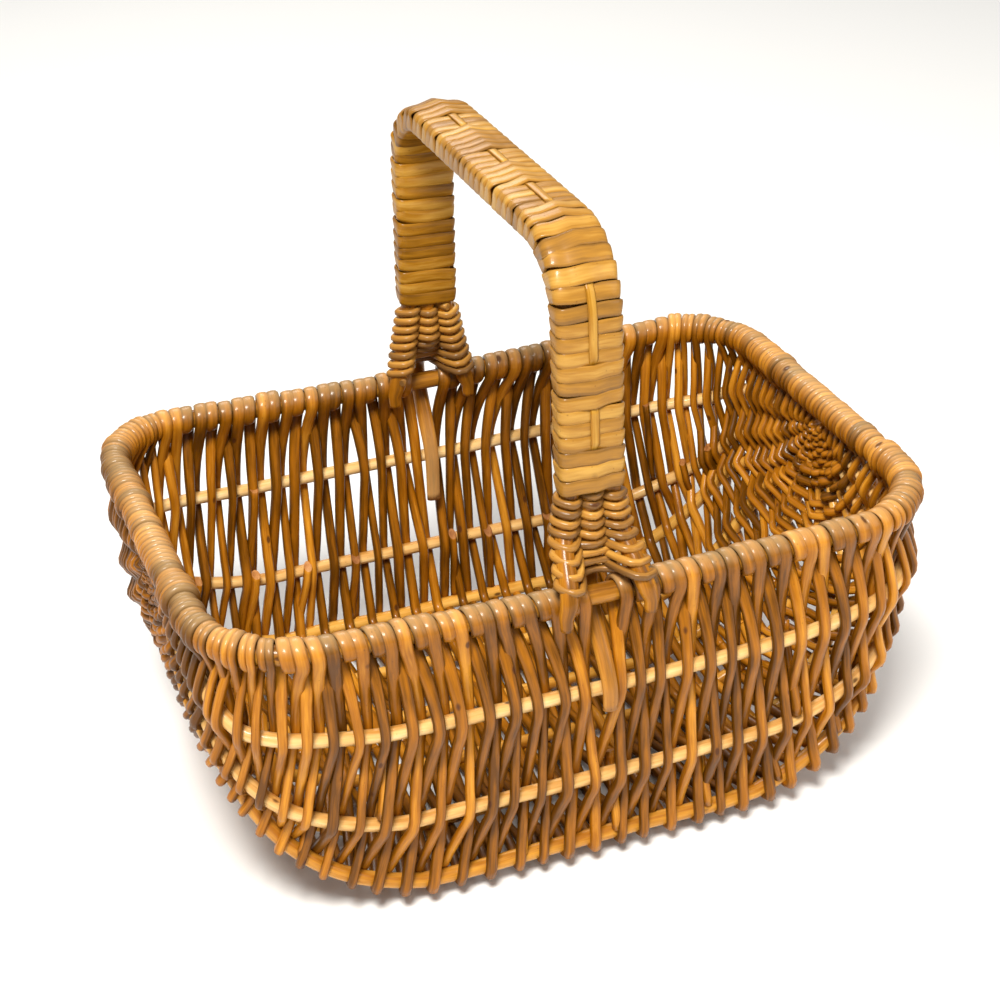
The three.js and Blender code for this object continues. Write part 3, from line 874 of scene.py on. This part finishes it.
def butt(share, from_row, to_row, reach_past, radius):
    """A cut end that comes up from between two ribs on the inside of the wall, crosses the
    second rib and ends a little past it."""
    start, start_out = on_row(from_row, np.array([share]))
    end, end_out = on_row(to_row, np.array([share + rng.normal(0, 0.004)]))
    run = np.linalg.norm(end - start)
    t = np.linspace(0.1, 1 + reach_past / run, 12)[:, None]
    outward = unit(mix(start_out, end_out, np.clip(t, 0, 1)))
    sunk = mix(2 * MM, -(rib_radius + 1.8 * radius), smoothstep(t, 0.1, 1))
    path = mix(start, end, t) + outward * sunk
    tone = rng.uniform(0.2, 0.8)
    butts.add(path, -outward, radius, radius, tone, sides=12, bevel=rng.uniform(-1.3, -0.5))


for count, from_row, to_row in butt_groups:
    for share in (np.arange(count) + rng.uniform(0.2, 0.8, count)) / count * 0.76 + 0.12:
        butt(share, from_row, to_row, rng.uniform(3, 9) * MM, rng.uniform(2.3, 3.0) * MM)
butts.build("cut_rod_ends", weave_wood, "weave_rods", ends=end_wood)

# %% [markdown]
# ## Winding at the short ends
# No strand of the weave ends on the rim at the very middle of a short side, so a thin rod is
# wound round the hoop there, turn against turn. It is a helix round the hoop's line.

# %% Short end windings
wound_pitch = 4.6 * MM
wound_wide = 2.295 * MM
wound_thick = 1.8 * MM
wound_reach = hoop_end_skip + 1 * MM
wound_turns = round(2 * wound_reach / wound_pitch)
winding_nodes = {"left": [], "right": []}
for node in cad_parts:
    if node.startswith("rim_winding"):
        winding_nodes["left" if "left" in node else "right"].append(node)


def drift(at, values):
    """These values, spread evenly over at and joined by straight lines."""
    return np.interp(at, np.linspace(0, at[-1], len(values)), values)


for side_name, centre in (("left", 0.0), ("right", half_hoop)):
    angle = np.linspace(0, 2 * np.pi * wound_turns, wound_turns * 24 + 1)
    uneven = drift(angle, rng.normal(0, 0.35 * MM, 2 * wound_turns))
    distance = centre - wound_reach + angle / (2 * np.pi) * wound_pitch + uneven
    hoop, radial = round_hoop(distance, angle, -1)
    stand = hoop_radius + wound_thick + drift(angle, rng.normal(0, 0.25 * MM, wound_turns))
    path = hoop + radial * stand[:, None]
    tone = 0.5 + 0.3 * drift(angle, rng.uniform(-1, 1, 40))
    # The tops of the turns are painted paler, for wear and as a painted highlight.
    rub = np.clip(np.sin(angle), 0, 1) ** 2 * 0.5
    rod = Bundle().add(path, radial, wound_wide, wound_thick, tone, rub, sides=8)
    rod.build(f"rim_winding_{side_name}_end", weave_wood, "rim_rods", *winding_nodes[side_name])

# %% [markdown]
# ## Starting the weave at the poles
# The first rods go round the meeting point of the ribs in small half circles, from the rim down,
# over and under the rib tips, and up to the rim again.

# %% Pole starts
pole_height = rim_height + rim_end_rise - pole_drop
spoke_angles = np.radians([sizes[2] for sizes in half_ribs.values()])
spoke_angles = np.concatenate([spoke_angles, np.pi - spoke_angles[::-1]])
pole_rod_radius = 1.9 * MM
pole_rings = np.arange(5.5, 35, 3.4) * MM
pole_beside = 3.2 * MM
past_rim = 0.3
left_pole_darker = 0.3


def spoke_at(angle):
    """The direction from the pole at this angle below the rim, from the front round to the back."""
    return np.array([0, -math.cos(angle), -math.sin(angle)])


for side_name, sign in (("left", -1), ("right", 1)):
    rods = Bundle()
    out = np.array([sign, 0, 0])
    pole = np.array([sign * rim_half_length, 0, pole_height])
    for number, ring_radius in enumerate(pole_rings):
        keys = []
        for order, angle in enumerate([-past_rim, *spoke_angles, np.pi + past_rim]):
            beside = 0 if order in (0, 11) else (-1) ** (order + number) * pole_beside
            keys.append(pole + spoke_at(angle) * ring_radius + out * beside)
        path, at = smooth_path(np.array(keys), [5] * 11)
        tone = rng.uniform(0.3, 0.75) - (left_pole_darker if side_name == "left" else 0)
        rods.add(path, out, pole_rod_radius, pole_rod_radius, tone, sides=8)
    for angle in spoke_angles:
        path = pole + spoke_at(angle) * np.linspace(3 * MM, pole_radius + 2 * MM, 8)[:, None]
        rods.add(path, out, rib_tip_radius, rib_tip_radius, 0.5, sides=8)
    rods.build(f"pole_rods_{side_name}", weave_wood, "weave_rods", f"pole_start_{side_name}")

# %% [markdown]
# ## The handle's bows
# Three thick rods stand side by side. They are one bundle over the hand gap, and spread out at
# the feet, where the outer two pass on one side of the rim and the middle one on the other side,
# so that the rim is clamped between them. Their tips are whittled and end in the weave.

# %% The bows' shared line
bow_radius = 5 * MM
bow_tip_radius = 3.4 * MM
bow_pitch = 10.3 * MM
handle_height = 193 * MM
handle_lean = 7.7 * MM
handle_corner = 37 * MM
fan_height = 60 * MM
fan_half_spread = 23.5 * MM
outer_skin = 9 * MM
leg_top = handle_height - outer_skin
foot_half = rim_half_width - outer_skin
leg_slope = handle_lean / leg_top


def leg_y(height):
    """How far a leg stands from the middle plane at a height above the hoop."""
    return foot_half - leg_slope * height


def arch_line():
    """The bows' middle line over the hand gap in the plane x = 0: two leaning straights, two
    arcs and a straight top, as (y, z) above the hoop, from the front fan to the back fan."""
    lean = math.atan(leg_slope)
    centre_z = leg_top - handle_corner
    centre_y = leg_y(centre_z) - handle_corner / math.cos(lean)
    angle = np.linspace(lean, np.pi / 2, 40)
    arc = np.stack([np.cos(angle), np.sin(angle)], axis=-1)
    bend = np.array([centre_y, centre_z]) + handle_corner * arc
    half = np.concatenate([[(leg_y(fan_height), fan_height)], bend])
    whole = np.concatenate([half * (-1, 1), half[::-1]])
    points = np.concatenate([np.zeros((len(whole), 1)), whole], axis=1)
    points[:, 2] += rim_height
    return evenly(points, 1601)


arch = arch_line()
arch_run = lengths(arch)
arch_along = unit(np.gradient(arch, axis=0))
arch_away = np.stack([np.zeros(len(arch)), -arch_along[:, 2], arch_along[:, 1]], axis=-1)


def arch_at(distance):
    """Point and direction away from the hand gap, at a distance along the arch."""
    return read_line(arch, arch_run, distance), unit(read_line(arch_away, arch_run, distance))


print("arch length:", round(arch_run[-1], 4))

# %% The bows' feet
winding_radius = 8.4 * MM
wall_half = 6 * MM
clearance = 0.3 * MM
pass_outside = rim_half_width + winding_radius + clearance + bow_radius
pass_inside = rim_half_width - winding_radius - clearance - bow_radius
upper_width, upper_height, _ = half_ribs["upper"]
upper_drop = rim_height - upper_height
outside_wall = upper_width + wall_half + clearance + bow_radius
inside_wall = upper_width - wall_half - clearance - bow_radius - 2 * MM
outer_tip_drop = 8 * MM
foot_bend = (4 * MM, 38 * MM)
feet = {
    "front": (-1, (pass_outside, pass_outside, outer_tip_drop), (pass_inside, outside_wall, 62 * MM)),
    "back": (1, (pass_inside, pass_inside, outer_tip_drop), (pass_outside, inside_wall, 80 * MM)),
}


def foot_y(height, crossing, below, end):
    """A foot's distance from the middle plane: from the leg's line down to its crossing of the
    hoop, and on to its place below it."""
    above = mix(crossing, leg_y(height), smoothstep(height, *foot_bend))
    under = mix(crossing, below, smoothstep(-height, 0, end))
    return np.where(height >= 0, above, under)


def spread(height):
    """The outer bows' distance from the middle one."""
    return mix(fan_half_spread, bow_pitch, np.clip(height / fan_height, 0, 1) ** 0.8)


def foot_line(name, column, heights):
    """One foot of a bow, at these heights above the hoop."""
    side, outer, central = feet[name]
    crossing, below, drop = central if column == 0 else outer
    end = upper_drop if drop > outer_tip_drop else drop
    y = side * foot_y(heights, crossing, below, end)
    return np.stack([column * spread(heights), y, rim_height + heights], axis=-1)


def bow_line(column):
    """A whole bow: front foot from its tip up, arch, back foot down to its tip."""
    parts = []
    for name in ("front", "back"):
        _, outer, central = feet[name]
        drop = (central if column == 0 else outer)[2]
        heights = np.linspace(-drop, fan_height - 2 * MM, 30)
        parts.append(foot_line(name, column, heights))
    over = arch[::10] + (column * bow_pitch, 0, 0)
    return np.concatenate([parts[0], over, parts[1][::-1]])


bow_wobble = 0.35 * MM
# The middle bow's tips are cut long and flat: thickness across the wall, and width along it.
middle_tip = (4.3 * MM, 2.6 * MM)
outer_tip = (bow_tip_radius, bow_tip_radius)
for name, column in (("left", -1), ("middle", 0), ("right", 1)):
    path = bow_line(column)
    run = lengths(path)
    from_tip = np.minimum(run, run[-1] - run)
    whittled = 62 * MM if column == 0 else 14 * MM
    full = np.clip(from_tip / whittled, 0, 1) ** 1.5
    to_face, to_side = (mix(tip, bow_radius, full) for tip in (middle_tip if column == 0 else outer_tip))
    at_back = run > run[-1] / 2
    pale = np.where(at_back, 0.45, 0.1) * (1 - full) if column == 0 else 0.0
    path = path + wander(len(path), bow_wobble, 20)
    rod = Bundle().add(path, (1, 0, 0), to_side, to_face, rng.uniform(0.4, 0.7), pale, sides=14)
    rod.build(f"bow_rod_{name}", bow_wood, "bow_rods", f"handle_bow_{name}")

# %% [markdown]
# ## The handle's winding
# A flat strip of split willow, the skein, is wound round the three bows, turn beside turn, and
# each turn is a strap with rounded edges. The listing, a narrow strip along the back of the
# handle, is woven in: it lies over a few turns and then under the next ones, which bulge over it.

# %% Skein turns
skein_pitch = 7.7 * MM
half_across = 16.9 * MM
face_inner = 6.0 * MM
face_outer = 7.6 * MM
skein_half_thick = 0.95 * MM
box_power = 0.4
helix_share = 0.7
strap_bump = 2.2 * MM
bump_reach = 9 * MM
listing_half_wide = 2.5 * MM
listing_half_thick = 0.75 * MM
turn_count = round((arch_run[-1] + 3 * MM) / skein_pitch)
top_middle = turn_count // 2
# The listing shows from one turn to another: twice up the front leg, three times on the top and
# once on the back leg.
shown_listing = [(3, 6), (9, 14), (top_middle - 10, top_middle - 6), (top_middle - 2, top_middle + 1),
                 (top_middle + 6, top_middle + 9), (turn_count - 17, turn_count - 11)]


def listing_over(turn):
    """True where the listing lies over this turn."""
    return any(low <= turn < high for low, high in shown_listing)


# Each turn is a rounded box round the three bows, x across them and n away from the hand gap. It
# is a superellipse of power 5 with its own depth on each face, and starts at the right-hand side.
ring_share = np.linspace(0, 1, 57)
ring_x = half_across * squared(np.cos(2 * np.pi * ring_share), box_power)
ring_n = squared(np.sin(2 * np.pi * ring_share), box_power)
ring_n *= np.where(ring_n > 0, face_outer, face_inner)
straps = Bundle()
for turn in range(turn_count):
    centre = (turn + 0.5) / turn_count * arch_run[-1]
    slant = rng.normal(0.02, 0.035)
    bow = rng.normal(0, 0.8) * MM
    swell = rng.uniform(0.91, 1.06)
    bump = 0 if listing_over(turn) else strap_bump
    lift = np.where(ring_n > 0, bump * np.clip(1 - np.abs(ring_x) / bump_reach, 0, 1) ** 1.2, 0)
    distance = centre + ring_x * slant + bow * (ring_x / half_across) ** 2
    distance += helix_share * skein_pitch * (ring_share - 0.5)
    point, away = arch_at(distance)
    path = point + away * (ring_n + lift)[:, None]
    path[:, 0] += ring_x
    outward = away * (1.2 * ring_n / face_inner)[:, None]
    outward[:, 0] += ring_x * face_inner / half_across**2
    below_top = rim_height + leg_top - np.interp(centre, arch_run, arch[:, 2])
    bent = 1 - smoothstep(below_top, 0.3 * handle_corner, handle_corner)
    on_top = 1 - smoothstep(below_top, 0, 2 * MM)
    wide = skein_pitch * (0.535 + 0.13 * (bent - on_top)) * swell
    at_back = smoothstep(centre / arch_run[-1], 0.62, 0.8)
    # The turns on the straight top are painted a little paler, a painted highlight from the lamp above.
    tone = rng.uniform(0.35, 0.8) + 0.05 * on_top - 0.04 * at_back
    straps.add(path, outward, wide, skein_half_thick, tone, 0.08 * (1 - at_back),
               sides=12, square=0.65, shade=0.32)
straps.build("handle_skein", skein_wood, "skein_strips", "handle_winding")

# %% Listing
at_turn = np.linspace(0, turn_count, turn_count * 6 + 1)
over = np.array([listing_over(math.floor(t)) for t in at_turn[:-1]] + [False]).astype(float)
soft = np.convolve(over, np.ones(5) / 5, mode="same")
distance = np.clip(at_turn / turn_count, 0.003, 0.997) * arch_run[-1]
point, away = arch_at(distance)
path = point + away * (face_outer + mix(-0.9 * MM, 1.5 * MM, soft))[:, None]
strip = Bundle().add(path, away, listing_half_wide, listing_half_thick, 0.75)
strip.build("handle_listing_strip", skein_wood, "skein_strips", "handle_listing")

# %% [markdown]
# ## The fan weave at the feet
# Where the bows spread, a thin rod is woven to and fro between them, over one and under the
# next, and round the outer bow at each side. It locks the spread and closes the foot.

# %% Fan weave
fan_rod_radius = 2.15 * MM
fan_pitch = 2.75 * MM
fan_stand = bow_radius + fan_rod_radius
for name, (side, _, _) in feet.items():
    heights = np.arange(winding_radius + 2.5 * MM, fan_height - 3 * MM, fan_pitch)
    heights = heights[:len(heights) - 1 + len(heights) % 2]
    keys = []
    for number, height in enumerate(heights):
        way = 1 if number % 2 == 0 else -1
        for column in (-way, 0, way):
            face = side * (way if column == 0 else -way)
            bow = foot_line(name, column, np.array([height + rng.normal(0, 0.25 * MM)]))[0]
            keys.append(bow + np.array([0, face, 0]) * fan_stand * 0.93)
        if number < len(heights) - 1:
            bow = foot_line(name, way, np.array([height + fan_pitch / 2]))[0]
            keys.append(bow + np.array([way, 0, 0]) * fan_stand * 0.95)
    path, at = smooth_path(np.array(keys), [6] * (len(keys) - 1))
    tone = by_key(np.repeat(rng.uniform(0.25, 0.85, len(keys) // 6 + 1), 6)[:len(keys)], at)
    rod = Bundle().add(path, (0, 0, 1), fan_rod_radius, fan_rod_radius, tone, 0.1, sides=8)
    nodes = [f"fan_weave_{name}_{half}" for half in ("left", "right")]
    rod.build(f"fan_rods_{name}", fan_wood, "weave_rods", *nodes)
